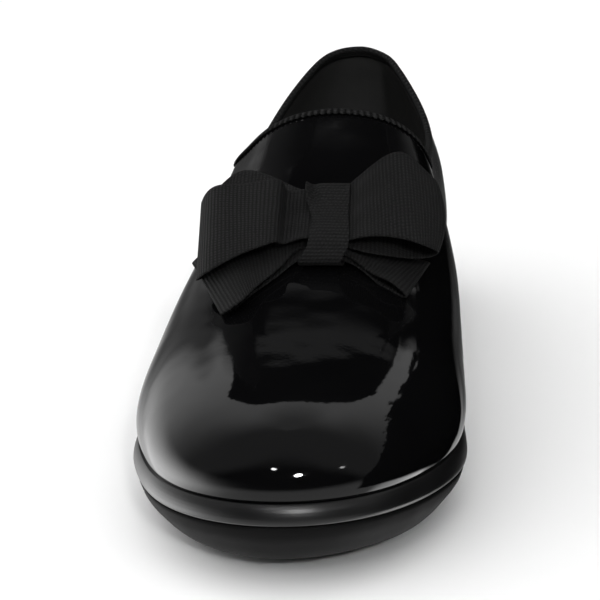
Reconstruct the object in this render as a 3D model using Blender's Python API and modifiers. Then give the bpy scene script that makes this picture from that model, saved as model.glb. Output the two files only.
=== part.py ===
"""A right slip-on loafer at its real size.

A patent upper is lofted over a rounded last, bound with ribbed tape round its topline, and closed
underneath by a rubber sole in two bands with a low heel. A flat ribbon bow rests on the vamp.
Metres, +Z up, floor at z = 0. The toe points along -Y and the outer side of the foot is -X.
"""

import math

import bmesh
import bpy
import numpy as np

MM = 0.001

# Driving sizes
FEATHER_LENGTH = 249 * MM       # heel to toe, along the line where upper and sole meet
WALL = 1.7 * MM                 # patent leather with its lining
GAP = 0.3 * MM                  # between pieces that lie against each other
AROUND = 72                     # points round the shoe
ROWS = 13                       # rows of faces from the feather line to the topline

# Sections of the last, heel to toe. along is the share of the feather length from the heel.
# half_width and centre place the feather outline, ridge is the section's height above the
# feather line, and skew moves that ridge to the inner side. Millimetres.
LAST_COLUMNS = ("along", "half_width", "centre", "ridge", "skew")
LAST_SECTIONS = (
    (0.06, 21.1, -0.5, 57.0, 0.0),
    (0.15, 27.2, 0.0, 60.0, 0.0),
    (0.28, 28.4, -0.5, 68.0, 1.0),
    (0.40, 30.0, -1.2, 67.0, 3.0),
    (0.52, 34.8, -1.0, 55.4, 4.3),
    (0.63, 38.6, -1.0, 46.5, 4.0),
    (0.71, 40.0, -0.5, 39.6, 3.7),
    (0.80, 39.9, 0.7, 33.2, 2.7),
    (0.88, 34.8, 1.1, 26.3, 1.6),
    (0.95, 25.4, 0.7, 17.9, 0.7),
)
HEEL_PLAN_RADIUS = 23.4 * MM    # of the outline at its two ends
TOE_PLAN_RADIUS = 31 * MM
HEEL_STEEPNESS = 170 * MM       # how upright the two ends stand
TOE_STEEPNESS = 41 * MM
HEEL_CENTRE = -0.3 * MM
TOE_CENTRE = 0.2 * MM
SIDE_LEAN = 0.13                # how far the sides lean out above the feather line
SIDE_FULLNESS = 0.15
FEATHER_BULGE = 1.28 * MM       # the upper swells over the edge of the sole
BULGE_HEIGHT = 8.5 * MM

# Heights above the floor. Millimetres.
FEATHER_COLUMNS = ("along", "height")
FEATHER_LINE = (
    (0.00, 27.3), (0.12, 26.2), (0.25, 24.5), (0.40, 21.5), (0.52, 18.9),
    (0.63, 17.0), (0.72, 16.4), (0.82, 17.5), (0.91, 19.7), (1.00, 21.7),
)
TOPLINE = (
    (0.00, 80.0), (0.08, 78.2), (0.20, 64.6), (0.32, 61.4), (0.38, 63.4),
    (0.43, 74.6), (0.50, 105.0),
)
THROAT_LIMIT = 0.5              # the topline stays behind this share of the length
HUB = np.array((0.0, 0.6, 0.8))  # direction, inside the opening, where the ribs of the upper meet

# Edge of the rolled upper band: outset from the feather outline and drop below it. Millimetres.
MIDSOLE_EDGE = (
    (1.3, 0.3), (1.9, 1.1), (2.1, 2.5), (1.9, 4.0), (1.2, 5.0),
)
# Edge of the lower band: share of its depth, and outset from the feather outline. Millimetres.
OUTSOLE_EDGE = (
    (0.00, 0.7), (0.06, 1.4), (0.28, 0.6), (0.50, -1.4), (0.78, -4.3), (1.00, -7.6),
)
# How much of that undercut each stretch of the sole has
UNDERCUT = ((0.0, 0.32), (0.3, 0.36), (0.55, 0.55), (0.75, 0.9), (1.0, 1.0))
# Underside of the sole above the floor: heel, breast, arch, tread and toe spring. Millimetres.
HEEL_BREAST = 0.27
BREAST_SLOPE = 0.012
SOLE_BOTTOM = (
    (0.00, 0.0), (HEEL_BREAST, 0.0), (HEEL_BREAST + BREAST_SLOPE, 7.0), (0.38, 8.0), (0.58, 0.0),
    (0.80, 0.0), (1.00, 4.6),
)

INSOLE_THICKNESS = 3 * MM
INSOLE_CLEARANCE = 0.6 * MM

TAPE_THICKNESS = 0.5 * MM       # binding tape folded over the topline
TAPE_LEG = 3.0 * MM

# Ribbon bow. It leans up from the vamp, facing forwards.
BOW_ALONG = 0.67                # where it stands on the vamp
BOW_CENTRE = 6.9 * MM           # to the inner side
BOW_TILT = math.radians(28.5)   # of its face, from the floor
BOW_LIFT = 8 * MM               # of its front face over the vamp
BOW_DROOP = 4.6 * MM            # its ends hang this far at BOW_DROOP_REACH
BOW_DROOP_REACH = 30 * MM
RIBBON_THICKNESS = 0.5 * MM
ROOT_START = 0.6 * MM           # the two sides of the bow stop short of each other in the knot
ROOT_LENGTH = 5.6 * MM          # gathered stretch that the knot holds
TURN_LENGTH = 11 * MM           # past it the ribbon comes round to its slope

# One row per folded ribbon. side is -1 outwards and +1 inwards. Turns are the slopes of the two
# layers in degrees, and end_cut is how far the folded end is from square. Levels are heights over
# the bow's face, and rest is the least height over the vamp, each for the back layer and then the
# front one. Millimetres.
FOLD_COLUMNS = (
    "side", "reach", "back_turn", "front_turn", "end_cut", "root_shift", "root_width", "full_width",
    "tip_width", "root_back", "root_front", "back", "front", "full_share", "back_rest", "front_rest",
)
BOW_FOLDS = {
    "bow_loop_lateral": (-1, 34.5, 22, -6.5, 0, 4.3, 17, 31, 30, -2.2, -1.25, -4.8, 1.0, 0.58, 4.0, 5.2),
    "bow_loop_medial": (1, 28.5, 9, 15, 0, 4.0, 16, 32, 25, -2.2, -1.25, -4.4, 2.4, 0.56, 4.0, 5.2),
    "bow_tail_lateral": (-1, 34.5, -29, -34, 12, -2.0, 9, 27, 27, -4.1, -3.15, -8.8, -7.3, 0.38, 0.8, 2.3),
    "bow_tail_medial": (1, 27.0, -24, -30, 0, -1.0, 10, 20, 20, -4.1, -3.15, -8.8, -7.3, 0.42, 0.8, 2.3),
}
FOLD_STEPS = 22                 # faces along a folded ribbon and across it
FOLD_WIDTH_STEPS = 6
TURN_FROM = 0.12                # where a ribbon's slope goes over from the back layer's to the front's
TURN_TO = 0.5
FOLD_CLOSING = 0.1              # the layers draw together towards the fold
FOLD_ROUNDNESS = 1.1
FOLD_CROWDING = 1.5             # faces crowd towards the fold
KNOT_HALF_WIDTH = 4.7 * MM
KNOT_HALF_LENGTH = 13.2 * MM
KNOT_HALF_DEPTH = 3.5 * MM
KNOT_SHIFT = 2.5 * MM            # centre of the knot up the bow's face
KNOT_LEVEL = -2.7 * MM
KNOT_WALL = 0.9 * MM
KNOT_SQUARENESS = 0.6
KNOT_FLARE = 0.05
KNOT_LEAN = 0.05                # its lower end lies further out
KNOT_REST = 0.45 * MM
KNOT_POINTS = 28
KNOT_STATIONS = 5


# Curves through the tables

def column(table, columns, name):
    """One named column of a table, as an array."""
    index = columns.index(name)
    return np.array([row[index] for row in table], dtype=float)


def natural_spline(knots, values):
    """The natural cubic spline through points, as a function of an array."""
    order = np.argsort(knots)
    knots = np.asarray(knots, dtype=float)[order]
    values = np.asarray(values, dtype=float)[order]
    steps = np.diff(knots)
    count = len(knots)
    system = np.eye(count)
    bends = np.zeros(count)
    for i in range(1, count - 1):
        system[i, i - 1:i + 2] = steps[i - 1], 2 * (steps[i - 1] + steps[i]), steps[i]
        bends[i] = 6 * ((values[i + 1] - values[i]) / steps[i] - (values[i] - values[i - 1]) / steps[i - 1])
    seconds = np.linalg.solve(system, bends)

    def curve(at):
        at = np.asarray(at, dtype=float)
        i = np.clip(np.searchsorted(knots, at) - 1, 0, count - 2)
        left = (knots[i + 1] - at) / steps[i]
        right = (at - knots[i]) / steps[i]
        bend = (left**3 - left) * seconds[i] + (right**3 - right) * seconds[i + 1]
        return left * values[i] + right * values[i + 1] + bend * steps[i]**2 / 6

    return curve


def smooth_step(share):
    """0 to 1, level at both ends."""
    share = np.clip(share, 0, 1)
    return share * share * (3 - 2 * share)


def eased_steps(table):
    """A curve that is level at each point of a table and eases from one to the next."""
    knots, values = np.array(table, dtype=float).T

    def curve(at):
        at = np.clip(np.asarray(at, dtype=float), knots[0], knots[-1])
        i = np.clip(np.searchsorted(knots, at) - 1, 0, len(knots) - 2)
        share = smooth_step((at - knots[i]) / (knots[i + 1] - knots[i]))
        return values[i] + (values[i + 1] - values[i]) * share

    return curve


# The last: a smooth map from directions of the upper half sphere, (across, along, up), where the
# toe is along = -1 and the heel is along = +1

def axis_place(share):
    """Share of the length from the heel, as the along part of a direction."""
    return 1 - 2 * np.asarray(share, dtype=float)


def section_curve(name, heel, toe, rounded):
    """A column of the last's table from heel to toe, with its values at the two ends."""
    places = axis_place(column(LAST_SECTIONS, LAST_COLUMNS, "along"))
    values = column(LAST_SECTIONS, LAST_COLUMNS, name) * MM
    if rounded:
        values = values / np.sqrt(1 - places**2)
    return natural_spline(np.concatenate(([1], places, [-1])), np.concatenate(([heel], values, [toe])))


HALF_LENGTH = FEATHER_LENGTH / 2
plan_width = section_curve(
    "half_width", math.sqrt(HEEL_PLAN_RADIUS * HALF_LENGTH), math.sqrt(TOE_PLAN_RADIUS * HALF_LENGTH), True)
plan_centre = section_curve("centre", HEEL_CENTRE, TOE_CENTRE, False)
ridge_height = section_curve("ridge", HEEL_STEEPNESS, TOE_STEEPNESS, True)
ridge_skew = section_curve("skew", 0, 0, False)
feather_height = natural_spline(
    axis_place(column(FEATHER_LINE, FEATHER_COLUMNS, "along")),
    column(FEATHER_LINE, FEATHER_COLUMNS, "height") * MM)
topline_height = natural_spline(
    axis_place(column(TOPLINE, FEATHER_COLUMNS, "along")),
    column(TOPLINE, FEATHER_COLUMNS, "height") * MM)


def last_point(directions):
    """Points of the last's surface for an array of directions."""
    across, along, up = np.moveaxis(np.asarray(directions), -1, 0)
    rise = ridge_height(along) * up
    x = plan_centre(along) + ridge_skew(along) * up
    x = x + plan_width(along) * across * (1 + SIDE_LEAN * up + SIDE_FULLNESS * up**2)
    level = np.maximum(np.hypot(across, along), 1e-9)
    bulge = FEATHER_BULGE * rise / BULGE_HEIGHT * np.exp(1 - rise / BULGE_HEIGHT)
    return np.stack((
        x + across / level * bulge,
        HALF_LENGTH * along + along / level * bulge,
        feather_height(along) + rise,
    ), axis=-1)


def rib_directions(angles, shares):
    """Directions along the ribs that run from the feather line, at these angles round the shoe from
    the toe towards the inner side, up to the hub."""
    foot = np.stack((np.sin(angles), -np.cos(angles), np.zeros_like(angles)), axis=-1)[:, None, :]
    turn = np.arccos(np.clip(foot @ HUB, -1, 1))[..., None]
    shares = shares[..., None]
    return (np.sin((1 - shares) * turn) * foot + np.sin(shares * turn) * HUB) / np.sin(turn)


def topline_shares(angles):
    """Where along its rib each angle meets the topline, by halving."""
    def above(shares):
        directions = rib_directions(angles, shares[:, None])[:, 0]
        height = last_point(directions)[:, 2] - topline_height(directions[:, 1])
        return (directions[:, 1] > axis_place(THROAT_LIMIT)) & (height > 0)

    scan = np.linspace(0, 1, 200)
    hits = np.array([above(np.full_like(angles, share)) for share in scan])
    first = np.maximum(hits.argmax(axis=0), 1)
    low, high = scan[first - 1], scan[first]
    for _ in range(30):
        middle = (low + high) / 2
        over = above(middle)
        low, high = np.where(over, low, middle), np.where(over, middle, high)
    return (low + high) / 2


def vamp_height(x, y):
    """Height of the last's upper surface over points of the floor."""
    along = y / HALF_LENGTH
    girth = np.sqrt(1 - along**2)
    low = np.full_like(x, -math.pi / 2)
    high = np.full_like(x, math.pi / 2)
    for _ in range(40):
        middle = (low + high) / 2
        directions = np.stack((girth * np.sin(middle), along, girth * np.cos(middle)), axis=-1)
        short = last_point(directions)[..., 0] < x
        low, high = np.where(short, middle, low), np.where(short, high, middle)
    return last_point(directions)[..., 2]


# Blender objects

def material(name, colour, roughness):
    made = bpy.data.materials.new(name)
    made.use_nodes = True
    shader = made.node_tree.nodes["Principled BSDF"]
    shader.inputs["Base Color"].default_value = (*colour, 1)
    shader.inputs["Roughness"].default_value = roughness
    shader.inputs["Metallic"].default_value = 0
    return made


def add_object(name, shape, finish):
    """Turn a bmesh into a named object of the shoe."""
    mesh = bpy.data.meshes.new(name)
    shape.to_mesh(mesh)
    shape.free()
    mesh.materials.append(finish)
    mesh.shade_smooth()
    mesh.set_sharp_from_angle(angle=math.radians(40))
    made = bpy.data.objects.new(name, mesh)
    shoe.objects.link(made)
    return made


def loft(rings, closed_path=False):
    """Faces between successive closed rings of points. A closed path joins the last ring to the first."""
    shape = bmesh.new()
    rows = [[shape.verts.new(point) for point in ring] for ring in rings]
    pairs = list(zip(rows, rows[1:]))
    if closed_path:
        pairs.append((rows[-1], rows[0]))
    for lower, upper in pairs:
        for i in range(len(lower)):
            j = (i + 1) % len(lower)
            shape.faces.new((lower[i], lower[j], upper[j], upper[i]))
    return shape, rows


def ladder_cap(shape, ring):
    """Close a ring that runs round the shoe from the toe, with a rung between its two sides."""
    count = len(ring)
    for i in range(count // 2):
        corners = [ring[i], ring[i + 1], ring[count - i - 1], ring[-i]]
        unique = list(dict.fromkeys(corners))
        shape.faces.new(unique)


def slab(name, rings, finish):
    """A layer of the sole: a loft of rings, closed at both ends."""
    shape, rows = loft(rings)
    ladder_cap(shape, rows[0])
    ladder_cap(shape, rows[-1])
    bmesh.ops.recalc_face_normals(shape, faces=shape.faces)
    return add_object(name, shape, finish)


def solidify(made, thickness, offset, even):
    wall = made.modifiers.new("Wall", "SOLIDIFY")
    wall.thickness = thickness
    wall.offset = offset
    wall.use_even_offset = even
    return made


# The sole

def sole_angles():
    """Angles round the shoe, with a pair at each edge of the heel breast."""
    half = np.linspace(0, math.pi, AROUND // 2 + 1)
    edges = np.arccos(-axis_place([HEEL_BREAST, HEEL_BREAST + BREAST_SLOPE]))
    far = [angle for angle in half if np.abs(angle - edges).min() > math.radians(1.5)]
    half = np.sort(np.concatenate((far, edges)))
    return np.concatenate((half, 2 * math.pi - half[-2:0:-1]))


def outline(angles, outset):
    """The feather outline moved outwards in plan, as x and y."""
    def plan(at):
        return last_point(np.stack((np.sin(at), -np.cos(at), np.zeros_like(at)), axis=-1))[:, :2]

    nudge = 1e-4
    tangent = plan(angles + nudge) - plan(angles - nudge)
    tangent /= np.linalg.norm(tangent, axis=1, keepdims=True)
    outward = np.stack((tangent[:, 1], -tangent[:, 0]), axis=-1)
    return plan(angles) + outward * np.reshape(outset, (-1, 1))


def ring_at(angles, outset, heights):
    """A ring round the sole at an outset from the feather outline and at given heights."""
    flat = outline(angles, np.broadcast_to(outset, angles.shape))
    return np.column_stack((flat, heights))


def add_midsole(finish):
    """The rolled upper band that the upper stands on."""
    angles = sole_angles()
    feather = feather_height(-np.cos(angles))
    rings = [ring_at(angles, outset * MM, feather - drop * MM) for outset, drop in MIDSOLE_EDGE]
    return slab("midsole", rings, finish)


def add_outsole(finish):
    """The lower band with its heel, arch, tread and toe spring."""
    angles = sole_angles()
    along = -np.cos(angles)
    share = (1 - along) / 2
    top = feather_height(along) - MIDSOLE_EDGE[-1][1] * MM - GAP
    bottom = eased_steps(SOLE_BOTTOM)(share) * MM
    undercut = eased_steps(UNDERCUT)(share)
    rings = []
    for depth, outset in OUTSOLE_EDGE:
        reach = np.where(outset < 0, outset * undercut, outset) * MM
        rings.append(ring_at(angles, reach, top + (bottom - top) * depth))
    return slab("outsole", rings, finish)


def add_insole(finish):
    """The footbed, inside the upper and on the upper band."""
    angles = sole_angles()
    feather = feather_height(-np.cos(angles))
    inset = -(WALL + INSOLE_CLEARANCE)
    rings = [ring_at(angles, inset, feather), ring_at(angles, inset, feather + INSOLE_THICKNESS)]
    return slab("insole", rings, finish)


# The upper and its binding

def upper_ribs(angles, rows):
    """Points of the upper's outside, by angle and row."""
    shares = topline_shares(angles)[:, None] * np.linspace(0, 1, rows + 1)
    return last_point(rib_directions(angles, shares))


def add_upper(finish):
    """One hollow wall, open at the topline and along the feather line."""
    angles = np.linspace(0, 2 * math.pi, AROUND, endpoint=False)
    ribs = upper_ribs(angles, ROWS)
    shape, _ = loft(np.swapaxes(ribs, 0, 1))
    return solidify(add_object("upper", shape, finish), WALL, -1, True)


def add_binding(finish):
    """Tape folded over the topline, with a leg on each side of the wall."""
    angles = np.linspace(0, 2 * math.pi, AROUND, endpoint=False)
    ribs = upper_ribs(angles, ROWS * 4)
    edge = ribs[:, -1]
    rise = edge - ribs[:, -2]
    rise /= np.linalg.norm(rise, axis=1, keepdims=True)
    tangent = np.roll(edge, -1, axis=0) - np.roll(edge, 1, axis=0)
    outward = np.cross(tangent, rise)
    outward /= np.linalg.norm(outward, axis=1, keepdims=True)
    outer, inner = GAP, -WALL - GAP
    crown = GAP + TAPE_THICKNESS
    round_off = 0.4 * TAPE_THICKNESS
    profile = (
        (outer, -TAPE_LEG), (outer + TAPE_THICKNESS, -TAPE_LEG), (outer + TAPE_THICKNESS, GAP),
        (outer + round_off, crown), (inner - round_off, crown), (inner - TAPE_THICKNESS, GAP),
        (inner - TAPE_THICKNESS, -TAPE_LEG), (inner, -TAPE_LEG), (inner, GAP), (outer, GAP),
    )
    sections = np.stack([edge + outward * out + rise * up for out, up in profile], axis=1)
    shape, _ = loft(sections, closed_path=True)
    bmesh.ops.recalc_face_normals(shape, faces=shape.faces)
    return add_object("topline_binding", shape, finish)


# The bow, in its own frame: across to the inner side, up its face, and out of its face

def bow_to_shoe(across, up, out, rest):
    """Points of the bow's frame in the shoe, kept at least rest above the vamp."""
    sine, cosine = math.sin(BOW_TILT), math.cos(BOW_TILT)
    foot_y = HALF_LENGTH * float(axis_place(BOW_ALONG))
    foot_z = float(vamp_height(np.array(BOW_CENTRE), np.array(foot_y)))
    out = out + BOW_LIFT - BOW_DROOP * (across / BOW_DROOP_REACH)**2
    x = BOW_CENTRE + across
    y = foot_y + up * cosine - out * sine
    z = foot_z + up * sine + out * cosine
    return np.stack((x, y, np.maximum(z, vamp_height(x, y) + rest)), axis=-1)


def add_fold(name, finish):
    """A ribbon that leaves the knot, folds back at its reach and returns over itself."""
    row = dict(zip(FOLD_COLUMNS, BOW_FOLDS[name]))
    reach = row["reach"] * MM
    knot_share = ROOT_LENGTH / reach
    # the path in its own section: share of the reach, then height over the bow's face
    back, front = row["back"], row["front"]
    full = row["full_share"]
    tip_back, tip_front = back + FOLD_CLOSING * (front - back), front - FOLD_CLOSING * (front - back)
    fold = 1 - FOLD_ROUNDNESS * (tip_front - tip_back) / 2 / row["reach"]
    stations = np.array((0, knot_share, full, fold, 1, fold, full, knot_share, 0))
    levels = np.array((
        row["root_back"], row["root_back"], back, tip_back, (back + front) / 2, tip_front, front,
        row["root_front"], row["root_front"],
    ))
    spacing = np.hypot(np.diff(stations) * reach, np.diff(levels) * MM)
    knots = np.concatenate(([0], np.cumsum(spacing))) / spacing.sum()
    path_out = natural_spline(knots, stations * (reach - ROOT_START) + ROOT_START)
    path_level = natural_spline(knots, levels * MM)

    shape = bmesh.new()
    bmesh.ops.create_grid(shape, x_segments=FOLD_STEPS, y_segments=FOLD_WIDTH_STEPS, size=0.5)
    step, side = np.array([(v.co.x, v.co.y) for v in shape.verts]).T
    run = 0.5 + np.sign(step) * np.abs(2 * step)**FOLD_CROWDING / 2
    distance = path_out(run)
    front_share = smooth_step((run - TURN_FROM) / (TURN_TO - TURN_FROM))
    turn = np.radians(row["back_turn"] + (row["front_turn"] - row["back_turn"]) * front_share)
    turn = turn * smooth_step((distance - ROOT_LENGTH) / TURN_LENGTH)
    width = np.interp(distance / reach, (0, knot_share, 0.6, 1), (
        row["root_width"], row["root_width"], row["full_width"], row["tip_width"])) * MM
    lever = np.maximum(distance - ROOT_LENGTH, 0)
    edge_turn = turn + math.radians(row["end_cut"]) * smooth_step(distance / reach)
    across = distance - lever * (1 - np.cos(turn)) - side * width * np.sin(edge_turn)
    up = row["root_shift"] * MM + lever * np.sin(turn) + side * width * np.cos(edge_turn)
    level = path_level(run)
    rise = np.clip((level / MM - back) / (front - back), 0, 1)
    front_side = np.where(run > 0.5, 1, rise * (distance > full * reach))
    rest = (row["back_rest"] + (row["front_rest"] - row["back_rest"]) * front_side) * MM
    points = bow_to_shoe(row["side"] * across, up, level, rest)
    for vert, point in zip(shape.verts, points):
        vert.co = point
    return solidify(add_object(name, shape, finish), RIBBON_THICKNESS, 0, False)


def add_knot(finish):
    """The band wrapped round the roots of the bow, open at its two sides."""
    turn = np.linspace(0, 2 * math.pi, KNOT_POINTS, endpoint=False)
    rings = []
    for station in np.linspace(-1, 1, KNOT_STATIONS):
        swell = 1 + KNOT_FLARE * station**2
        up = np.sign(np.cos(turn)) * np.abs(np.cos(turn))**KNOT_SQUARENESS * KNOT_HALF_LENGTH * swell
        out = np.sign(np.sin(turn)) * np.abs(np.sin(turn))**KNOT_SQUARENESS * KNOT_HALF_DEPTH * swell
        across = station * KNOT_HALF_WIDTH + KNOT_LEAN * up
        rings.append(bow_to_shoe(across, KNOT_SHIFT + up, KNOT_LEVEL + out, KNOT_REST))
    shape, _ = loft(rings)
    return solidify(add_object("bow_knot", shape, finish), KNOT_WALL, -1, True)


for old in list(bpy.data.objects):
    bpy.data.objects.remove(old, do_unlink=True)

shoe = bpy.data.collections.new("loafer")
bpy.context.scene.collection.children.link(shoe)

patent = material("patent_leather", (0.006, 0.006, 0.007), 0.05)
ribbon = material("grosgrain_ribbon", (0.012, 0.012, 0.012), 0.85)
band_rubber = material("band_rubber", (0.012, 0.012, 0.013), 0.35)
tread_rubber = material("tread_rubber", (0.016, 0.016, 0.016), 0.6)
footbed = material("footbed_leather", (0.015, 0.015, 0.015), 0.7)

add_outsole(tread_rubber)
add_midsole(band_rubber)
add_insole(footbed)
add_upper(patent)
add_binding(ribbon)
for fold_name in BOW_FOLDS:
    add_fold(fold_name, ribbon)
add_knot(ribbon)
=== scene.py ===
import math

import bpy
import numpy as np
from mathutils import Euler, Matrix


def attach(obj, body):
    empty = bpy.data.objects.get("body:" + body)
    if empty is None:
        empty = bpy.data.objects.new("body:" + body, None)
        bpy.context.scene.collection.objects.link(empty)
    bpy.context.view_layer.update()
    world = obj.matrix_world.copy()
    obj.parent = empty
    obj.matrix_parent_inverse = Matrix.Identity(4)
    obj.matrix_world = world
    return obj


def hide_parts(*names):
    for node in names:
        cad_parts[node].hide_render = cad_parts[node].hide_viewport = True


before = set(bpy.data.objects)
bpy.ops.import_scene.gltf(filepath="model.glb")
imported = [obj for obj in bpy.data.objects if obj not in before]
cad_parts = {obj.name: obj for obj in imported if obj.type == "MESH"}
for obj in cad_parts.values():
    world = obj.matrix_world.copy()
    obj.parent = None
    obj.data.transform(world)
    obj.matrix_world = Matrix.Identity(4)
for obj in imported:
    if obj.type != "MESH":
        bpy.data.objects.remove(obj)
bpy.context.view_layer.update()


# The last is the foot-shaped form that the shoe is made round and then pulled off. It isn't part of
# the shoe, but the footbed, the upper and the sole all take their shape from it.
MM = 0.001
FEATHER_LENGTH = 249 * MM     # heel to toe, along the line where upper and sole meet
HALF_LENGTH = FEATHER_LENGTH / 2
# share of the length from the heel, half width, centre, ridge height and its lean to the inner side
LAST_SECTIONS = np.array((
    (0.06, 21.1, -0.5, 57.0, 0.0), (0.15, 27.2, 0.0, 60.0, 0.0), (0.28, 28.4, -0.5, 68.0, 1.0),
    (0.40, 30.0, -1.2, 67.0, 3.0), (0.52, 34.8, -1.0, 55.4, 4.3), (0.63, 38.6, -1.0, 46.5, 4.0),
    (0.71, 40.0, -0.5, 39.6, 3.7), (0.80, 39.9, 0.7, 33.2, 2.7), (0.88, 34.8, 1.1, 26.3, 1.6),
    (0.95, 25.4, 0.7, 17.9, 0.7),
))
HEEL_PLAN_RADIUS, TOE_PLAN_RADIUS = 23.4 * MM, 31 * MM
HEEL_STEEPNESS, TOE_STEEPNESS = 170 * MM, 41 * MM
HEEL_CENTRE, TOE_CENTRE = -0.3 * MM, 0.2 * MM
SIDE_LEAN, SIDE_FULLNESS = 0.13, 0.15
FEATHER_BULGE, BULGE_HEIGHT = 1.28 * MM, 8.5 * MM
# share of the length from the heel, and height of the line where upper and sole meet
FEATHER_LINE = np.array((
    (0.00, 27.3), (0.12, 26.2), (0.25, 24.5), (0.40, 21.5), (0.52, 18.9),
    (0.63, 17.0), (0.72, 16.4), (0.82, 17.5), (0.91, 19.7), (1.00, 21.7),
))
# place along, +1 at the heel to -1 at the toe, and how far the inner side swells there
INNER_SWELL = np.array((
    (1.0, 0.0), (0.85, -1.0), (0.6, -1.1), (0.35, -0.5), (0.2, 0.6), (0.1, 1.2), (-0.05, 1.2),
    (-0.25, 0.5), (-0.4, 0.0), (-0.55, 0.0), (-0.7, 0.0), (-0.85, 0.0), (-1.0, 0.0)))
SWELL_FOOT, SWELL_RISE = 0.28, 0.2  # how far up the side it starts, and how soon it is full
SHOULDER = 2.8 * MM           # how full the outer side is beside the throat
SHOULDER_ALONG, SHOULDER_LENGTH = 0.17, 0.2
SHOULDER_UP, SHOULDER_HEIGHT = 0.58, 0.12
SIDE_REACH = 0.3              # swell and shoulder are full this far out from the middle


def natural_spline(knots, values):
    """The natural cubic spline through points, as a function of an array."""
    order = np.argsort(knots)
    knots, values = np.asarray(knots, float)[order], np.asarray(values, float)[order]
    steps = np.diff(knots)
    count = len(knots)
    system, bends = np.eye(count), np.zeros(count)
    for i in range(1, count - 1):
        system[i, i - 1:i + 2] = steps[i - 1], 2 * (steps[i - 1] + steps[i]), steps[i]
        bends[i] = 6 * ((values[i + 1] - values[i]) / steps[i] - (values[i] - values[i - 1]) / steps[i - 1])
    seconds = np.linalg.solve(system, bends)

    def curve(at):
        at = np.asarray(at, float)
        i = np.clip(np.searchsorted(knots, at) - 1, 0, count - 2)
        left, right = (knots[i + 1] - at) / steps[i], (at - knots[i]) / steps[i]
        bend = (left**3 - left) * seconds[i] + (right**3 - right) * seconds[i + 1]
        return left * values[i] + right * values[i + 1] + bend * steps[i]**2 / 6

    return curve


def axis_place(share):
    """Share of the length from the heel, as -1 at the toe to +1 at the heel."""
    return 1 - 2 * np.asarray(share, float)


def section_curve(column, heel, toe, rounded):
    """One measure of the last from heel to toe, with its values at the two ends."""
    places = axis_place(LAST_SECTIONS[:, 0])
    values = LAST_SECTIONS[:, column] * MM
    if rounded:
        values = values / np.sqrt(1 - places**2)
    return natural_spline(np.concatenate(([1], places, [-1])), np.concatenate(([heel], values, [toe])))


plan_width = section_curve(
    1, math.sqrt(HEEL_PLAN_RADIUS * HALF_LENGTH), math.sqrt(TOE_PLAN_RADIUS * HALF_LENGTH), True)
plan_centre = section_curve(2, HEEL_CENTRE, TOE_CENTRE, False)
ridge_height = section_curve(3, HEEL_STEEPNESS, TOE_STEEPNESS, True)
ridge_lean = section_curve(4, 0, 0, False)
feather_height = natural_spline(axis_place(FEATHER_LINE[:, 0]), FEATHER_LINE[:, 1] * MM)
inner_swell = natural_spline(INNER_SWELL[:, 0], INNER_SWELL[:, 1] * MM)


def smooth_step(share):
    """0 to 1, level at both ends."""
    share = np.clip(share, 0, 1)
    return share * share * (3 - 2 * share)


def last_point(directions):
    """Points of the last for directions of the upper half sphere, (across, along, up)."""
    across, along, up = np.moveaxis(directions, -1, 0)
    rise = ridge_height(along) * up
    x = plan_centre(along) + ridge_lean(along) * up
    x = x + plan_width(along) * across * (1 + SIDE_LEAN * up + SIDE_FULLNESS * up**2)
    swell = inner_swell(along) * smooth_step((up - SWELL_FOOT) / SWELL_RISE)
    x = x + swell * np.clip(across / SIDE_REACH, 0, 1)
    shoulder = ((along - SHOULDER_ALONG) / SHOULDER_LENGTH)**2 + ((up - SHOULDER_UP) / SHOULDER_HEIGHT)**2
    x = x - SHOULDER * np.exp(-shoulder) * np.clip(-across / SIDE_REACH, 0, 1)
    level = np.maximum(np.hypot(across, along), 1e-9)
    bulge = FEATHER_BULGE * rise / BULGE_HEIGHT * np.exp(1 - rise / BULGE_HEIGHT)
    return np.stack((
        x + across / level * bulge, HALF_LENGTH * along + along / level * bulge,
        feather_height(along) + rise), axis=-1)


def outline(angles, outset):
    """The feather outline moved outwards in plan, as x and y. Angles run from the toe."""
    def plan(at):
        return last_point(np.stack((np.sin(at), -np.cos(at), np.zeros_like(at)), axis=-1))[..., :2]

    tangent = plan(angles + 1e-4) - plan(angles - 1e-4)
    tangent /= np.linalg.norm(tangent, axis=-1, keepdims=True)
    outward = np.stack((tangent[..., 1], -tangent[..., 0]), axis=-1)
    return plan(angles) + outward * np.asarray(outset)[..., None]


# The footbed is a dull leather sock over a thin board. It lies in the bottom of the upper, and its
# edge turns up a little where feet have pressed the middle down.
WALL = 1.7 * MM
FOOTBED_INSET = WALL + 0.6 * MM
FOOTBED_THICKNESS = 3 * MM
FOOTBED_CUP = 0.9 * MM


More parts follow.
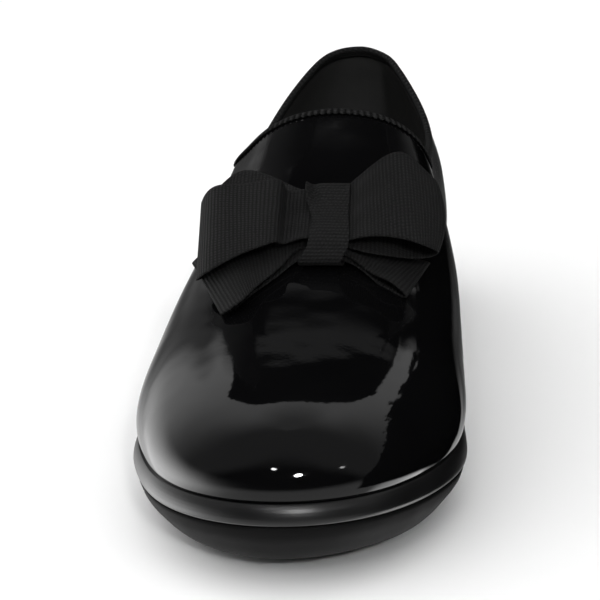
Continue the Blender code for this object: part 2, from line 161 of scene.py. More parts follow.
def lay_grid(name, columns, rows, place):
    """A flat grid of faces laid onto a form. place gives points for shares u and v of the grid, and
    the UV map is in metres along those two ways."""
    bpy.ops.object.select_all(action="DESELECT")
    bpy.ops.mesh.primitive_grid_add(x_subdivisions=columns, y_subdivisions=rows, size=1)
    piece = bpy.context.object
    mesh = piece.data
    piece.name = mesh.name = name
    flat = np.empty(len(mesh.vertices) * 3)
    mesh.vertices.foreach_get("co", flat)
    u, v = flat.reshape(-1, 3)[:, :2].T + 0.5
    mesh.vertices.foreach_set("co", place(u, v).ravel())
    shares = np.linspace(0, 1, 400)
    halfway = np.full_like(shares, 0.5)
    uv = np.empty(len(mesh.loops) * 2)
    mesh.uv_layers.active.data.foreach_get("uv", uv)
    uv = uv.reshape(-1, 2)
    for way, line in enumerate((place(shares, halfway), place(halfway, shares))):
        lengths = np.concatenate(([0], np.cumsum(np.linalg.norm(np.diff(line, axis=0), axis=1))))
        uv[:, way] = np.interp(uv[:, way], shares, lengths)
    mesh.uv_layers.active.data.foreach_set("uv", uv.ravel())
    bpy.ops.object.mode_set(mode="EDIT")
    bpy.ops.mesh.select_all(action="SELECT")
    bpy.ops.mesh.remove_doubles(threshold=0.01 * MM)
    bpy.ops.object.mode_set(mode="OBJECT")
    bpy.ops.object.shade_smooth()
    return piece


def slab_place(profile, heights):
    """A slab of the sole as rungs from toe to heel. A rung's section runs round the profile, in rows of
    (side, outset, level): -1 to +1 across, mm past the feather line, and 0 at the top to 1 below."""
    side, outset, level = np.array(profile, float).T
    stops = np.linspace(0, 1, len(profile))

    def place(u, v):
        angles = math.pi * u
        across = np.interp(v, stops, side)
        edge = np.interp(v, stops, outset) * MM
        left, right = outline(-angles, edge), outline(angles, edge)
        flat = left + (right - left) * ((across + 1) / 2)[:, None]
        return np.column_stack((flat, heights(-np.cos(angles), np.interp(v, stops, level), across)))

    return place


def footbed_height(along, level, across):
    thin = FOOTBED_THICKNESS * (1 - level) + FOOTBED_CUP * (1 - level) * (across**4 - 1)
    return feather_height(along) + thin


class Value:
    """A socket of a node tree. Sums with it are worked out by Math nodes."""

    def __init__(self, socket):
        self.socket = socket

    def node(self, kind, settings, inputs, output=0):
        """Any other node: its type, its settings, and the values or links of its sockets."""
        tree = self.socket.id_data
        made = tree.nodes.new("ShaderNode" + kind)
        for name, setting in settings.items():
            setattr(made, name, setting)
        for key, given in inputs.items():
            if isinstance(given, Value):
                tree.links.new(given.socket, made.inputs[key])
            else:
                made.inputs[key].default_value = given
        return Value(made.outputs[output])

    def math(self, operation, *others):
        return self.node("Math", {"operation": operation}, dict(enumerate((self, *others))))

    def __add__(self, other):
        return self.math("ADD", other)

    def __sub__(self, other):
        return self.math("SUBTRACT", other)

    def __rsub__(self, other):
        return self * -1 + other

    def __mul__(self, other):
        return self.math("MULTIPLY", other)

    def __truediv__(self, other):
        return self.math("DIVIDE", other)

    def __pow__(self, other):
        return self.math("POWER", other)

    __radd__ = __add__
    __rmul__ = __mul__

    def step(self, start, end):
        """0 at start to 1 at end, eased."""
        return self.node("MapRange", {"interpolation_type": "SMOOTHSTEP"}, {0: self, 1: start, 2: end})

    def noise(self, size, detail=2):
        """Cloudy noise round 0.5 with lumps of this size, over a place."""
        return self.node("TexNoise", {}, {"Vector": self, "Scale": 1 / size, "Detail": detail})

    def mix(self, low, high):
        """A colour from low to high by this share."""
        return self.node("Mix", {"data_type": "RGBA"}, {0: self, 6: (*low, 1), 7: (*high, 1)}, 2)


def finish(name, coordinates="Object"):
    """A new material with its shader, and the place on the piece as a value."""
    made = bpy.data.materials.new(name)
    made.use_nodes = True
    places = made.node_tree.nodes.new("ShaderNodeTexCoord")
    return made, made.node_tree.nodes["Principled BSDF"], Value(places.outputs[coordinates])


def connect(shader, **sockets):
    """Set or link sockets of a shader. Names have _ for spaces."""
    for name, given in sockets.items():
        socket = shader.inputs[name.replace("_", " ")]
        if isinstance(given, Value):
            socket.id_data.links.new(given.socket, socket)
        else:
            socket.default_value = given


sock_leather, shader, spot = finish("footbed_leather")
pores = spot.noise(0.7 * MM)
wear = spot.noise(28 * MM)
connect(
    shader, Base_Color=(wear * 0.7 + pores * 0.3).mix((0.007, 0.007, 0.007), (0.017, 0.017, 0.016)),
    Roughness=0.5 + pores * 0.25,
    Normal=pores.node("Bump", {}, {"Height": pores, "Distance": 0.12 * MM, "Strength": 0.7}))

rim = -FOOTBED_INSET / MM
half_section = [(station, rim, 0) for station in (0, 0.3, 0.6, 0.8, 0.92, 0.985)]
half_section += [(1, rim, 0.12), (1, rim, 1)]
section = [(-side, *rest) for side, *rest in half_section] + [(0, rim, 1)] + half_section[::-1]
footbed = lay_grid("footbed", 150, 56, slab_place(section, footbed_height))
footbed.data.materials.append(sock_leather)
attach(footbed, "root")
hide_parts("insole")


# The upper is one shell of black patent leather, pulled tight over the last and cemented under its
# edge. A dull leather lining backs it, and it is open at the topline.
EDGE_WALL = 0.9 * MM          # the leather is pared down to this at the topline
PARED = 8 * MM                # over this height
THROAT_LIMIT = 0.5            # the opening ends short of this share of the length from the heel
# share of the length from the heel, and height of the topline
TOPLINE = np.array((
    (0.00, 81.0), (0.08, 78.2), (0.20, 64.6), (0.32, 61.4), (0.38, 63.4), (0.43, 74.6), (0.50, 105.0)))
INNER_DIP = 1.3 * MM          # beside the heel, the topline is this much lower on the inner side
DIP_ACROSS = 0.2              # it is full this far from the middle
DIP_ALONG, DIP_LENGTH = 0.3, 0.3  # where along it starts, and how soon it is full
HUB = np.array((0.0, 0.6, 0.8))  # direction, inside the opening, that the rows of the shell run to
topline_height = natural_spline(axis_place(TOPLINE[:, 0]), TOPLINE[:, 1] * MM)


def rib_directions(angles, shares):
    """Directions along the ribs that run from the feather line, at these angles, up to the hub."""
    foot = np.stack((np.sin(angles), -np.cos(angles), np.zeros_like(angles)), axis=-1)
    turn = np.arccos(np.clip(foot @ HUB, -1, 1))[:, None]
    shares = shares[:, None]
    return (np.sin((1 - shares) * turn) * foot + np.sin(shares * turn) * HUB) / np.sin(turn)


def topline_shares(angles):
    """Where along its rib each angle meets the topline, by halving."""
    def above(shares):
        directions = rib_directions(angles, shares)
        dip = INNER_DIP * smooth_step(directions[:, 0] / DIP_ACROSS)
        dip = dip * smooth_step((directions[:, 1] - DIP_ALONG) / DIP_LENGTH)
        height = last_point(directions)[:, 2] - topline_height(directions[:, 1]) + dip
        return (directions[:, 1] > axis_place(THROAT_LIMIT)) & (height > 0)

    scan = np.linspace(0, 1, 200)
    hits = np.array([above(np.full_like(angles, share)) for share in scan])
    first = np.maximum(hits.argmax(axis=0), 1)
    low, high = scan[first - 1], scan[first]
    for _ in range(30):
        middle = (low + high) / 2
        over = above(middle)
        low, high = np.where(over, low, middle), np.where(over, middle, high)
    return (low + high) / 2


ring = np.linspace(0, 2 * math.pi, 1441)
ring_shares = topline_shares(ring)


def upper_place(u, v):
    angles = 2 * math.pi * u
    return last_point(rib_directions(angles, v * np.interp(angles, ring, ring_shares)))


def thicken(piece, thickness, offset, inner_slot=0, thinned=""):
    """Give a sheet its thickness, with another of its materials on the inside, or a vertex group that
    thins it, if they are asked for."""
    wall = piece.modifiers.new("Wall", "SOLIDIFY")
    wall.thickness, wall.offset = thickness, offset
    wall.material_offset = inner_slot
    wall.vertex_group = thinned
    bpy.ops.object.modifier_apply(modifier=wall.name)


patent, shader, spot = finish("patent_leather")
ripple = spot.noise(7 * MM, 0)
peel = spot.noise(1.1 * MM, 1)
handled = spot.noise(22 * MM, 3)
along = spot.node("SeparateXYZ", {}, {0: spot}, 1)
across = spot.node("SeparateXYZ", {}, {0: spot}, 0)
off_seam = (across + 0.3 * MM).math("ABSOLUTE").step(0.1 * MM, 0.7 * MM)
back_seam = (1 - off_seam) * along.step(90 * MM, 92 * MM)
pulled_on = along.step(-30 * MM, -5 * MM) * (1 - along.step(25 * MM, 60 * MM))
relief = ripple * 0.09 * MM + peel * 0.005 * MM - back_seam * 0.25 * MM
connect(
    shader, Base_Color=handled.mix((0.0016, 0.0016, 0.0018), (0.0028, 0.0028, 0.003)),
    Roughness=0.02 + handled * 0.05 + pulled_on * 0.05,
    Normal=relief.node("Bump", {}, {"Height": relief, "Distance": 1, "Strength": 1}))

lining, shader, spot = finish("lining_leather")
grain = spot.noise(0.55 * MM)
patches = spot.noise(17 * MM)
connect(
    shader, Base_Color=(patches * 0.6 + grain * 0.4).mix((0.012, 0.012, 0.012), (0.034, 0.034, 0.033)),
    Roughness=0.62 + grain * 0.2,
    Normal=grain.node("Bump", {}, {"Height": grain, "Distance": 0.1 * MM, "Strength": 0.8}))

upper = lay_grid("upper_shell", 288, 72, upper_place)
upper.data.materials.append(patent)
upper.data.materials.append(lining)
pared = upper.vertex_groups.new(name="pared")
edge_heights = topline_height(np.array([vertex.co.y for vertex in upper.data.vertices]) / HALF_LENGTH)
edge_share = EDGE_WALL / WALL
throat_y = HALF_LENGTH * axis_place(THROAT_LIMIT)
for vertex, edge_height in zip(upper.data.vertices, edge_heights):
    below = (edge_height - vertex.co.z) / PARED if vertex.co.y > throat_y else 1
    pared.add([vertex.index], edge_share + (1 - edge_share) * float(smooth_step(below)), "REPLACE")
thicken(upper, WALL, -1, 1, "pared")
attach(upper, "root")
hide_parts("upper")


# A narrow ribbed tape with a scalloped edge is folded over the pared edge of the topline and sewn
# through. Its inner edge is turned under, so less of it shows than its width.
TAPE_OUTER_LEG, TAPE_INNER_LEG = 2.0 * MM, 2.4 * MM
TAPE_THICKNESS = 0.4 * MM
TAPE_STAND = 0.3 * MM         # its middle stands this far off the leather
TAPE_FLARE = 0.25 * MM        # and its inner edge this much further
CROWN_FLATNESS = 0.8          # height of its fold, as a share of a half round
BELOW_EDGE = 0.985            # place on a rib of the shell just under the topline
SCALLOPS, SCALLOP_DEPTH, SCALLOP_BULGE = 157, 0.8 * MM, 0.3 * MM
SCALLOP_ROUNDNESS = 0.7
SCALLOP_STEPS = 10            # columns of faces in each scallop

crown = EDGE_WALL / 2 + TAPE_STAND
inner_face = -EDGE_WALL - TAPE_STAND
half_turn = np.linspace(0, math.pi, 9)
fold_out = np.cos(half_turn) * crown - EDGE_WALL / 2
fold_up = np.sin(half_turn) * crown * CROWN_FLATNESS
tape_profile = np.concatenate((
    ((TAPE_STAND, -TAPE_OUTER_LEG), (TAPE_STAND, -TAPE_OUTER_LEG / 2)),
    np.column_stack((fold_out, fold_up)),
    ((inner_face, -TAPE_INNER_LEG / 2), (inner_face - TAPE_FLARE, -TAPE_INNER_LEG))))
tape_steps = np.concatenate(([0], np.cumsum(np.linalg.norm(np.diff(tape_profile, axis=0), axis=1))))
rim_points = upper_place(ring / (2 * math.pi), np.ones_like(ring))
rim_steps = np.concatenate(([0], np.cumsum(np.linalg.norm(np.diff(rim_points, axis=0), axis=1))))


def tape_place(u, v):
    scallop = np.abs(np.cos(math.pi * SCALLOPS * u))**SCALLOP_ROUNDNESS
    u = np.interp(u * rim_steps[-1], rim_steps, ring) / (2 * math.pi)
    edge = upper_place(u, np.ones_like(u))
    rise = edge - upper_place(u, np.full_like(u, BELOW_EDGE))
    rise /= np.linalg.norm(rise, axis=1, keepdims=True)
    nudge = 1 / 720
    ahead, behind = (upper_place((u + way) % 1, np.ones_like(u)) for way in (nudge, -nudge))
    tangent = ahead - behind
    outward = np.cross(tangent, rise)
    outward /= np.linalg.norm(outward, axis=1, keepdims=True)
    out, up = (np.interp(v * tape_steps[-1], tape_steps, way) for way in tape_profile.T)
    outside = np.where(out > -EDGE_WALL / 2, np.clip(-up / TAPE_OUTER_LEG, 0, 1), 0)
    up = up + outside * SCALLOP_DEPTH * (1 - scallop)
    out = out + smooth_step(outside * 2) * SCALLOP_BULGE * (scallop - 0.5)
    return edge + outward * out[:, None] + rise * up[:, None]


def ribbon_finish(name, pitch, rib_shading, depth, ribbed=1.0):
    """Black cross-ribbed ribbon: thick ribs over its width, each wrapped by fine slanting threads. Ribs
    stop after the width that is ribbed."""
    thread_pitch, thread_slant = 0.95 * MM, 2400
    made, shader, uv = finish(name, "UV")
    length = uv.node("SeparateXYZ", {}, {0: uv}, 0)
    width = uv.node("SeparateXYZ", {}, {0: uv}, 1)
    wander = uv.noise(5 * MM)
    fuzz = uv.noise(0.42 * MM)
    mottle = uv.noise(1.6 * MM)
    ribs = (length * (2 * math.pi / pitch) + wander * 1.8).math("COSINE")
    rib = ribs * 0.5 * (1 - width.step(ribbed / 2, ribbed)) + 0.5
    threads = (width * (2 * math.pi / thread_pitch) + mottle * 7 + length * thread_slant).math("SINE")
    thread = (threads + 1) * 0.5
    height = rib * 0.5 + thread * rib * 0.7 + fuzz * 0.4
    # Colour: rib tops and the thread crossings on them are a painted highlight, and the gaps between ribs
    # are painted shade, following the bump height above; fuzz and mottle are the yarn's own uneven tone.
    shade = rib * rib_shading + thread * rib * 0.6 + fuzz * 1.4 + mottle * 0.3 - rib_shading * 0.5 - 0.63
    connect(
        shader, Base_Color=shade.mix((0.0015, 0.0015, 0.0015), (0.0155, 0.0155, 0.0157)),
        Roughness=0.78 + fuzz * 0.2, Specular_IOR_Level=0.3,
        Normal=height.node("Bump", {}, {"Height": height, "Distance": depth, "Strength": 0.9}))
    return made


tape = lay_grid("topline_tape", SCALLOP_STEPS * SCALLOPS, 16, tape_place)
rib_pitch = max(corner.uv.x for corner in tape.data.uv_layers.active.data) / SCALLOPS
# The tape's ribs get strong painted shade in their gaps and a painted highlight on their tops.
tape.data.materials.append(ribbon_finish("binding_tape", rib_pitch, 0.7, 0.25 * MM, 3.4 * MM))
thicken(tape, TAPE_THICKNESS, 0)
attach(tape, "root")
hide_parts("topline_binding")


# The upper band of the sole is a rolled strip of satin rubber that the upper stands on. It is moulded
# in one piece and cemented to the lasted upper.
BAND_DEPTH = 5 * MM
# its edge, top to bottom: how far out from the feather line and down from it, in mm
BAND_EDGE = (
    (0.5, -0.1), (0.85, 0.3), (1.25, 0.9), (1.6, 1.6), (1.87, 2.4), (2.05, 3.2), (2.1, 3.9), (1.95, 4.5),
    (1.6, 4.9), (1.2, 5.0))


def band_height(along, level, _):
    return feather_height(along) - level * BAND_DEPTH


def slab_profile(edge):
    """A closed section: out along the top, down one edge, back along the bottom, up the other."""
    first, last = edge[0], edge[-1]
    left = [(-1, outset, level) for outset, level in edge]
    right = [(1, outset, level) for outset, level in edge[::-1]]
    return [(0, *first), *left, (0, *last), *right, (0, *first)]


band_rubber, shader, spot = finish("band_rubber")
blast = spot.noise(0.5 * MM)
rubbed = spot.noise(14 * MM, 4)
connect(
    shader, Base_Color=rubbed.mix((0.0035, 0.0035, 0.0037), (0.0075, 0.0075, 0.0078)),
    Roughness=0.29 + rubbed * 0.12, Specular_IOR_Level=0.75,
    Normal=blast.node("Bump", {}, {"Height": blast, "Distance": 0.03 * MM, "Strength": 0.6}))

band_section = slab_profile([(outset, depth * MM / BAND_DEPTH) for outset, depth in BAND_EDGE])
band = lay_grid("sole_band", 240, 80, slab_place(band_section, band_height))
band.data.materials.append(band_rubber)
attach(band, "root")
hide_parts("midsole")


# The lower band is the outsole: matt moulded rubber, undercut all round, with a low heel, a waisted arch
# and a tread that lifts towards the toe. Shallow cross grooves are moulded in heel and tread.
JOINT_GAP = 0.3 * MM
# its edge: 0 at the top to 1 at the bottom, and how far out from the feather line, in mm
OUTSOLE_EDGE = (
    (0.00, 0.7), (0.03, 1.15), (0.06, 1.4), (0.15, 1.15), (0.28, 0.6), (0.39, -0.3), (0.50, -1.4),
    (0.64, -2.8), (0.78, -4.3), (0.92, -6.1), (0.975, -7.0), (1.00, -7.9))
# share of the length from the heel, and share of the undercut that is there
UNDERCUT = np.array(((0.0, 0.32), (0.3, 0.36), (0.55, 0.55), (0.75, 0.9), (1.0, 1.0)))
HEEL_BREAST, BREAST_SLOPE = 0.27, 0.012
# share of the length from the heel, and height of the underside in mm
SOLE_BOTTOM = np.array((
    (0.00, 0.0), (HEEL_BREAST, 0.0), (HEEL_BREAST + BREAST_SLOPE, 7.0), (0.38, 8.0), (0.58, 0.0),
    (0.80, 0.0), (1.00, 4.6)))
GROOVE_PITCH, GROOVE_DEPTH, GROOVE_SHARPNESS = 6 * MM, 0.9 * MM, 6
GROOVE_END, GROOVE_FADE = 0.86, 0.06  # share of the half width that they reach, and their run-out
CONTACT = 0.5 * MM            # only where the underside is nearer to the floor than this
UNDERSIDE = 0.995             # the edge has turned into the underside from this level down


def eased(table, at):
    """A curve that is level at each point of a table and eases from one to the next."""
    knots, values = table.T
    at = np.clip(at, knots[0], knots[-1])
    i = np.clip(np.searchsorted(knots, at) - 1, 0, len(knots) - 2)
    share = (at - knots[i]) / (knots[i + 1] - knots[i])
    return values[i] + (values[i + 1] - values[i]) * smooth_step(share)


def outsole_place(u, v):
    # rungs crowd where the heel breast drops
    rungs = np.interp(u, (0, 0.62, 0.70, 1), (0, 0.64, 0.675, 1))
    angles = math.pi * rungs
    share = (1 + np.cos(angles)) / 2
    section = np.array(slab_profile([(outset, level) for level, outset in OUTSOLE_EDGE]))
    count = len(OUTSOLE_EDGE)
    # the two edges take a fifth of the section each, and top and bottom the rest
    stops = np.concatenate((
        (0,), np.linspace(0.1, 0.3, count), (0.5,), np.linspace(0.7, 0.9, count), (1,)))
    side, outset, level = (np.interp(v, stops, way) for way in section.T)
    undercut = eased(UNDERCUT, share)
    edge = np.where(outset < 0, outset * undercut, outset) * MM
    left, right = outline(-angles, edge), outline(angles, edge)
    flat = left + (right - left) * ((side + 1) / 2)[:, None]
    top = feather_height(-np.cos(angles)) - BAND_DEPTH - JOINT_GAP
    bottom = eased(SOLE_BOTTOM, share) * MM
    on_floor = smooth_step((CONTACT - bottom) / CONTACT)
    under = smooth_step((level - UNDERSIDE) / (1 - UNDERSIDE))
    under = under * smooth_step((GROOVE_END - np.abs(side)) / GROOVE_FADE)
    wave = 0.5 - 0.5 * np.cos(2 * math.pi * flat[:, 1] / GROOVE_PITCH)
    groove = GROOVE_DEPTH * wave**GROOVE_SHARPNESS * under * on_floor
    return np.column_stack((flat, top + (bottom - top) * level + groove))


tread_rubber, shader, spot = finish("tread_rubber")
sand = spot.noise(0.4 * MM)
dust = spot.noise(9 * MM, 4)
connect(
    shader, Base_Color=(dust * 0.7 + sand * 0.3).mix((0.0028, 0.0028, 0.003), (0.0075, 0.0075, 0.0075)),
    Roughness=0.55 + dust * 0.2, Specular_IOR_Level=0.1,
    Normal=sand.node("Bump", {}, {"Height": sand, "Distance": 0.06 * MM, "Strength": 0.8}))

outsole = lay_grid("outsole_tread", 420, 100, outsole_place)
outsole.data.materials.append(tread_rubber)
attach(outsole, "root")
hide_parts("outsole")


# The bow is made of ribbed ribbon 30 mm wide. Two loops lie over two doubled tails, all gathered where
# the knot holds them, and the whole leans on the vamp, facing forwards.
BOW_ALONG, BOW_CENTRE = 0.67, 6.9 * MM  # share of the length from the heel, and place across
BOW_TILT = math.radians(28.5)
BOW_LIFT = 8 * MM
BOW_DROOP, BOW_DROOP_REACH = 4.6 * MM, 30 * MM
RIBBON_THICKNESS = 0.42 * MM
PLEATS, PLEAT_DEPTH = 2.5, 0.35 * MM
PLEAT_START, PLEAT_GROWTH, PLEAT_REACH = 5 * MM, 2 * MM, 7 * MM
# Each ribbon runs from the knot along its back layer, round its fold and back along its front layer.
# A row is its lower edge and its upper edge (across to the inner side, up, out), in mm, then how far
# its middle swells across and out, and how far it stays off the vamp.
BOW_RIBBONS = {
    "bow_loop_lateral": (
        (0.5, -3.0, -2.2, 0.5, 12.5, -2.2, 0, 0, 3),
        (-6.0, -3.0, -2.3, -6.0, 14.5, -2.6, 0, 0, 3),
        (-16.0, -4.0, -4.6, -15.9, 23.4, -5.7, 0, 0, 3),
        (-26.5, -6.0, -5.2, -27.6, 30.6, -6.7, 0, 0, 3),
        (-32.0, -10.0, -4.2, -33.0, 25.0, -5.7, 0, 0, 3),
        (-33.8, -13.2, -1.9, -36.5, 16.3, -2.5, 0, 0, 3),
        (-31.6, -14.6, 0.6, -34.8, 16.8, 0.5, 0, 0.2, 3),
        (-21.7, -10.1, 1.2, -24.7, 16.4, 1.2, 0, 0.8, 3),
        (-15.4, -8.0, 1.3, -16.8, 16.2, 1.5, 0, 0.7, 3),
        (-13.4, -7.0, 0.8, -14.4, 16.1, 0.9, 0, 0.4, 3),
        (-12.0, -6.0, -1.1, -13.2, 16.3, -3.0, 0, -0.2, 3),
        (-7.8, -5.2, -0.5, -8.6, 16.0, -2.8, 0, -0.3, 3),
        (-3.5, -4.6, -0.9, -3.5, 14.0, -1.7, 0, 0, 3),
        (0.5, -3.5, -1.25, 0.5, 12.5, -1.25, 0, 0, 3)),
    "bow_loop_medial": (
        (-0.5, -3.0, -2.2, -0.5, 12.0, -2.2, 0, 0, 3),
        (5.4, -6.3, -2.5, 5.5, 13.0, -2.5, 0, 0, 3),
        (16.0, -6.6, -3.9, 14.0, 17.5, -4.2, 0, 0, 3),
        (25.4, -4.4, -4.1, 23.2, 19.6, -5.2, 1.5, 0, 3),
        (27.6, -5.0, -1.3, 26.4, 20.4, -2.7, 1.8, 0, 3),
        (26.0, -6.3, 1.2, 23.3, 23.2, -0.6, 0.7, 0.5, 3),
        (19.9, -5.6, 1.9, 16.1, 29.2, -0.6, 0, 1.2, 3),
        (12.3, -5.4, 1.6, 9.5, 22.2, 0.7, 0, 0.9, 3),
        (7.2, -5.9, 0.6, 5.6, 16.6, 0.6, 0, 0.2, 3),
        (4.0, -5.6, -0.7, 3.0, 14.2, -0.6, 0, 0, 3),
        (-0.5, -4.5, -1.25, -0.5, 12.5, -1.25, 0, 0, 3)),
    "bow_tail_lateral": (
        (0.5, -8.4, -4.1, 0.5, 1.0, -4.1, 0, 0, 0.5),
        (-6.5, -8.0, -4.7, -6.5, 2.0, -4.5, 0, 0, 0.5),
        (-12.6, -14.2, -4.4, -15.0, 7.0, -6.6, 0, 0, 0.5),
        (-18.2, -21.0, -2.9, -24.0, 8.0, -8.2, 0, 0, 0.5),
        (-23.9, -28.2, -1.1, -35.6, 0.4, -7.8, 0, 0, 0.5),
        (-24.9, -29.5, -0.2, -37.2, -1.2, -6.9, 0, 0, 0.9),
        (-23.2, -29.2, 0.7, -36.0, -0.8, -6.0, 0, 0, 1.5),
        (-17.0, -20.2, -1.2, -24.0, 7.4, -6.6, 0, 0, 1.5),
        (-11.8, -12.0, -3.0, -15.0, 6.6, -5.3, 0, 0, 1.5),
        (-7.4, -5.4, -3.9, -7.0, 2.6, -3.7, 0, 0, 1.5),
        (0.5, -7.0, -3.15, 0.5, 2.0, -3.15, 0, 0, 1.5)),
    "bow_tail_medial": (
        (-0.5, -8.2, -4.1, -0.5, 0.0, -4.1, 0, 0, 0.5),
        (4.5, -8.6, -5.2, 4.8, -1.4, -5.2, 0, 0, 0.5),
        (11.9, -13.6, -6.3, 15.0, -1.0, -8.8, 0, 0, 0.5),
        (19.1, -17.2, -7.2, 23.6, 1.6, -13.2, 0, 0, 0.5),
        (20.2, -17.7, -6.3, 24.8, 1.6, -12.6, 0, 0, 0.9),
        (19.1, -17.0, -5.2, 24.0, 1.1, -11.7, 0, 0, 1.5),
        (11.5, -12.8, -4.6, 15.5, -2.0, -7.4, 0, 0, 1.5),
        (4.6, -7.8, -4.0, 4.9, -2.2, -4.0, 0, 0, 1.5),
        (-0.5, -7.2, -3.15, -0.5, 0.4, -3.15, 0, 0, 1.5))}


def vamp_height(x, y):
    """Height of the vamp over points of the floor."""
    along = y / HALF_LENGTH
    girth = np.sqrt(1 - along**2)
    low, high = np.full_like(x, -math.pi / 2), np.full_like(x, math.pi / 2)
    for _ in range(40):
        middle = (low + high) / 2
        directions = np.stack((girth * np.sin(middle), along, girth * np.cos(middle)), axis=-1)
        short = last_point(directions)[..., 0] < x
        low, high = np.where(short, middle, low), np.where(short, high, middle)
    return last_point(directions)[..., 2]


def bow_to_shoe(across, up, out, rest):
    """Points of the bow, given across to the inner side, up its face and out of it, in the shoe."""
    sine, cosine = math.sin(BOW_TILT), math.cos(BOW_TILT)
    foot_y = HALF_LENGTH * float(axis_place(BOW_ALONG))
    foot_z = float(vamp_height(np.array(BOW_CENTRE), np.array(foot_y)))
    out = out + BOW_LIFT - BOW_DROOP * (across / BOW_DROOP_REACH)**2
    x = BOW_CENTRE + across
    y = foot_y + up * cosine - out * sine
    z = foot_z + up * sine + out * cosine
    return np.stack((x, y, np.maximum(z, vamp_height(x, y) + rest)), axis=-1)


def ribbon_place(rows):
    """A ribbon through its rows, with soft gathers that die out from the knot."""
    table = np.array(rows) * MM
    steps = np.linalg.norm(np.diff(table[:, :6], axis=0), axis=1)
    knots = np.concatenate(([0], np.cumsum(steps))) / steps.sum()
    curves = [natural_spline(knots, values) for values in table.T]

    def place(u, v):
        low_across, low_up, low_out, high_across, high_up, high_out, swell_across, swell_out, rest = (
            curve(u) for curve in curves)
        arch = 4 * v * (1 - v)
        across = low_across + (high_across - low_across) * v + swell_across * arch
        up = low_up + (high_up - low_up) * v
        out = low_out + (high_out - low_out) * v + swell_out * arch
        reach = np.maximum(np.abs(across) - PLEAT_START, 0)
        fading = np.exp(-reach / PLEAT_REACH) * smooth_step(reach / PLEAT_GROWTH)
        pleats = np.cos(v * 2 * math.pi * PLEATS + 0.6) * fading
        return bow_to_shoe(across, up, out + PLEAT_DEPTH * pleats, rest)

    return place


# The bow's ribbon gets only faint painted shade between its ribs and painted highlight on their tops.
grosgrain = ribbon_finish("grosgrain_ribbon", 1.05 * MM, 0.12, 0.2 * MM)
for name, rows in BOW_RIBBONS.items():
    ribbon = lay_grid(name + "_ribbon", 210, 36, ribbon_place(rows))
    ribbon.data.materials.append(grosgrain)
    thicken(ribbon, RIBBON_THICKNESS, 0)
    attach(ribbon, "root")
    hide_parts(name)


# The knot is a short length of the same ribbon, folded narrow and wrapped round the gathered roots. Its
# front bends back near its foot, and one edge rolls over at its top.
KNOT_THICKNESS = 0.6 * MM
KNOT_REST = 0.45 * MM
ROLL_START, ROLL_GROWTH = 4 * MM, 7 * MM  # how far up the front it starts, and how soon it is full
ROLL_END, ROLL_FADE = 17 * MM, 3 * MM
ROLL_HEIGHT, ROLL_WIDTH = 1.0 * MM, 0.9 * MM
ROLL_VALLEY = 2.2 * MM        # beside the rolled edge, a valley this far in
# round the wrap, from the middle of its back: up and out, then its centre and half width
KNOT_ROWS = (
    (2.0, -6.2, -0.3, 4.8), (10.0, -6.2, -0.8, 5.2), (14.9, -4.9, -1.4, 5.6), (16.2, -2.0, -1.7, 5.8),
    (14.6, 0.4, -1.7, 5.8), (8.0, 0.9, -1.2, 5.5), (1.0, 0.9, -0.1, 4.7), (-4.6, 0.8, 0.2, 5.1),
    (-6.2, 0.4, 0.1, 5.2), (-8.6, -1.0, -0.6, 5.3), (-10.8, -3.4, -2.2, 5.5), (-9.8, -5.5, -1.6, 5.2),
    (-6.0, -6.2, -0.8, 4.9))


def knot_place(u, v):
    loop = np.array(KNOT_ROWS + KNOT_ROWS + KNOT_ROWS) * MM
    count = len(KNOT_ROWS)
    steps = np.linalg.norm(np.diff(loop[:, :2], axis=0), axis=1)
    knots = np.concatenate(([0], np.cumsum(steps)))
    start, end = knots[count], knots[2 * count]
    up, out, centre, half = (natural_spline(knots, values)(start + (end - start) * u) for values in loop.T)
    station = 2 * v - 1
    across = centre + half * station
    front = smooth_step((out + 1.5 * MM) / (1.5 * MM))
    roll = front * smooth_step((up - ROLL_START) / ROLL_GROWTH) * smooth_step((ROLL_END - up) / ROLL_FADE)
    side = (station + 1) * half
    fold = np.exp(-(side / ROLL_WIDTH)**2) - np.exp(-((side - ROLL_VALLEY) / ROLL_WIDTH)**2)
    out = out + ROLL_HEIGHT * roll * fold
    return bow_to_shoe(across, up, out, KNOT_REST)


knot = lay_grid("bow_knot_ribbon", 160, 40, knot_place)
knot.data.materials.append(grosgrain)
thicken(knot, KNOT_THICKNESS, -1)
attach(knot, "root")
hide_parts("bow_knot")


# The studio: a plain white floor under soft light from above, with a tent of pale cloth round the shoe
# for its gloss to mirror, dark towards the camera and on the inner side. Two small dark flags of cloth
# beside the heel keep bright patches off the throat.
FLOOR_SIZE = 6
FLOOR_GAP = 0.2 * MM

bpy.ops.object.select_all(action="DESELECT")
bpy.ops.mesh.primitive_plane_add(size=FLOOR_SIZE, location=(0, 0, -FLOOR_GAP))
floor = bpy.context.object
floor.name = "floor"
bpy.ops.object.transform_apply(location=True, rotation=False, scale=False)
floor_paint, shader, _ = finish("floor_paint")
connect(shader, Base_Color=(0.94, 0.94, 0.94, 1), Roughness=0.8)
floor.data.materials.append(floor_paint)
floor.visible_glossy = False

flag_cloth, shader, uv = finish("flag_cloth", "UV")
down, along = (uv.node("SeparateXYZ", {}, {0: uv}, i) for i in range(2))
thick = (down * (1 - down)).step(0.02, 0.14) * (along * (1 - along)).step(0.02, 0.14)
connect(
    shader, Base_Color=down.step(0.4, 0.9).mix((0.01, 0.01, 0.01), (0.12, 0.12, 0.12)),
    Roughness=1.0, Specular_IOR_Level=0.0, Alpha=thick)
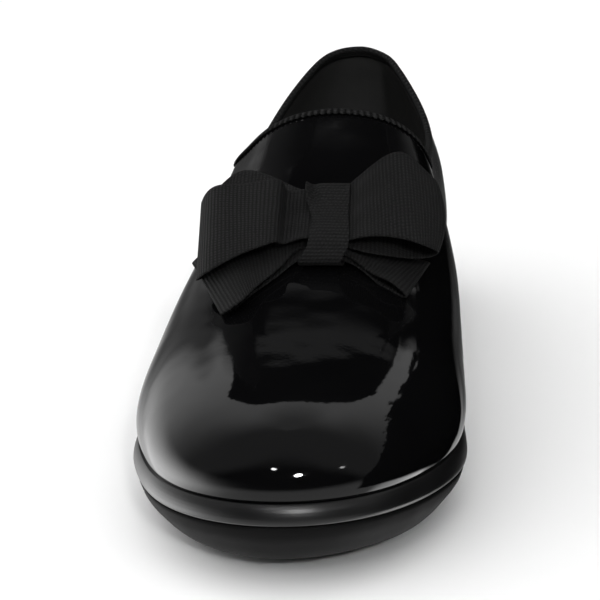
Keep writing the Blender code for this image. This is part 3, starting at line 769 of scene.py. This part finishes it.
# height and length of each, and its middle, in mm
for name, size, place in (
        ("flag_outer", (285, 84), (-100, 94, 222)),
        ("flag_inner", (151, 103), (100, 128, 163))):
    bpy.ops.mesh.primitive_plane_add(size=MM)
    flag = bpy.context.object
    flag.name = name
    flag.scale = (*size, 1)
    flag.rotation_euler = Euler((0, math.radians(90), 0))
    flag.location = [measure * MM for measure in place]
    bpy.ops.object.transform_apply(location=True, rotation=True, scale=True)
    flag.data.materials.append(flag_cloth)
    flag.visible_camera = flag.visible_diffuse = flag.visible_shadow = False

world = bpy.data.worlds.new("studio")
bpy.context.scene.world = world
world.use_nodes = True
sky = world.node_tree.nodes["Background"]
way = Value(world.node_tree.nodes.new("ShaderNodeTexCoord").outputs["Generated"])
to_side, to_back, to_top = (way.node("SeparateXYZ", {}, {0: way}, i) for i in range(3))
degrees = 180 / math.pi
turn = to_side.math("ARCTAN2", to_back * -1) * degrees      # 0 to the camera, + to the inner side
rise = to_top.math("ARCSINE") * degrees
away = turn.math("ABSOLUTE")

# cloth overhead, brighter towards the back
cloth = 0.18 + 0.66 * away.step(78, 136) * (1 - 0.75 * rise.step(66, 84))
front_edge = 55 - 45 * (turn / 60) * (turn / 60)
cloth = cloth * (rise - front_edge).step(-14, 17)
# dark opening in the cloth behind the shoe, with a pale strip across it
frayed = way.noise(0.05, 3) - 0.5
side_share = (to_side / to_top).math("ABSOLUTE") + 0.1 * frayed
back_share = to_back / to_top + 0.05 * frayed
opening = (1 - side_share.step(0.585, 0.61)) * rise.step(28, 34)
opening = opening * (back_share - 0.3 * side_share**2 - 1.6 * side_share**4).step(0.365, 0.385)
under_opening = away.step(146, 152) * (1 - rise.step(36, 42))
beside_opening = 0.8 * away.step(139, 146) * (1 - rise.step(27, 36))
back = 180 - away
over_strip = rise + (0.0115 - 0.0035 * turn.step(-20, 20)) * back * back - 49.9
hanging = over_strip.step(-6.2, -1.4) * (1 - (back + 5 * frayed).step(18.5, 21))
strip = over_strip.step(-3, -1.6).math("MAXIMUM", hanging)
strip = 0.13 * strip * (1 - over_strip.step(-0.8, 0.4)) * (1 - back.step(28, 33))
cloth = cloth * (1 - opening) * (1 - under_opening) * (1 - beside_opening) + strip
# dark card on the inner side
from_middle = (turn - 122) / 50
card_top = 40 - 40 * from_middle * from_middle + 16 * frayed
card = turn.step(66, 70) * (1 - turn.step(154, 157))
card = card * (1 - (rise - card_top).step(-1, 1)) * rise.step(-35, -32)
# bright low panel on the outer side, and the pale floor
bell = (turn + 95) / 34
panel = 3 * (bell * bell * -1).math("EXPONENT") * (1 - rise.step(-14, 16))
panel = panel * (0.2 + 0.8 * rise.step(-46, -20))
far_shade = turn.step(156, 166) * (1 - turn.step(175, 180)) * rise.step(-26, -16)
ground = 0.6 * (1 - rise.step(-22, -4)) * (1 - 0.8 * far_shade)
ground = ground + 1.4 * turn.step(84, 100) * (1 - turn.step(134, 142)) * (1 - rise.step(-37, -33))
light = (cloth + panel + ground) * (1 - card)
# three bare lamps beside the camera: turn, rise and radius in degrees, and power
for lamp_turn, lamp_rise, lamp_radius, lamp_power in (
        (-5, 44, 2.0, 30), (18, 30, 2.6, 125), (55, 28, 1.5, 8)):
    flat, high = math.radians(lamp_turn), math.radians(lamp_rise)
    aim = (math.sin(flat) * math.cos(high), -math.cos(flat) * math.cos(high), math.sin(high))
    facing = way.node("VectorMath", {"operation": "DOT_PRODUCT"}, {0: way, 1: aim}, 1)
    lamp_edge = math.cos(math.radians(lamp_radius))
    light = light + lamp_power * facing.step(lamp_edge - 0.0004, lamp_edge + 0.0002)
connect(sky, Color=light, Strength=1.0)

key_data = bpy.data.lights.new("overhead_light", "SUN")
key_data.energy, key_data.angle = 2.6, math.radians(100)
key = bpy.data.objects.new("overhead_light", key_data)
bpy.context.scene.collection.objects.link(key)
key.rotation_euler = Euler((math.radians(14), math.radians(-16), 0))
key.visible_glossy = False

lens_data = bpy.data.cameras.new("camera")
lens_data.lens, lens_data.sensor_width = 131, 36
camera = bpy.data.objects.new("camera", lens_data)
bpy.context.scene.collection.objects.link(camera)
camera.location = (68.6 * MM, -581.3 * MM, 217.6 * MM)
camera.rotation_euler = Euler((math.radians(72.33), math.radians(1.43), math.radians(7.0)))
bpy.context.scene.camera = camera
bpy.context.scene.view_settings.view_transform = "Standard"
